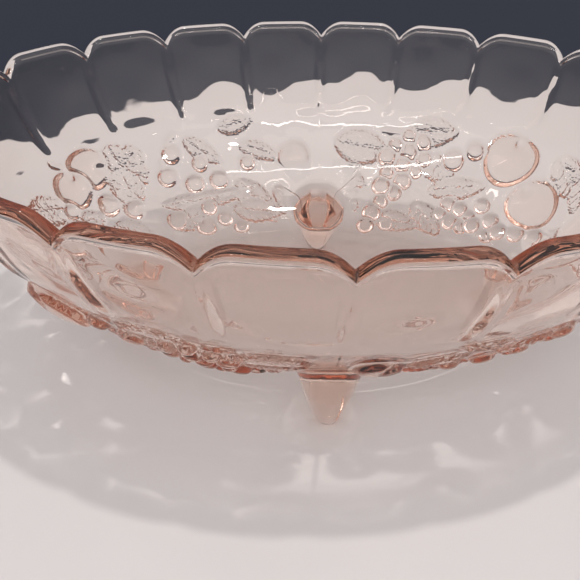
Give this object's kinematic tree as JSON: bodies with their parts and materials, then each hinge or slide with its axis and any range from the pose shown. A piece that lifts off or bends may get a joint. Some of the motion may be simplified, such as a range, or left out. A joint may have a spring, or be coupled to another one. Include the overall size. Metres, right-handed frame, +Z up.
{
  "type": "oval footed glass bowl",
  "caption": "Open oval bowl of pink pressed glass with a scalloped rim, slim wall pillars, a band of moulded fruit and solid conical feet.",
  "frame": {"origin": "on the surface the feet stand on, under the middle of the bowl", "axes": "+X along the bowl's length, +Y across it towards the back, +Z up"},
  "size_m": [0.3048, 0.2134, 0.1145],
  "materials": {
    "pink_glass": "fire-polished pressed glass"
  },
  "bodies": {
    "root": {"bowl": "pink_glass", "foot_front": "pink_glass", "foot_back": "pink_glass", "foot_left": "pink_glass", "foot_right": "pink_glass"}
  },
  "joints": []
}
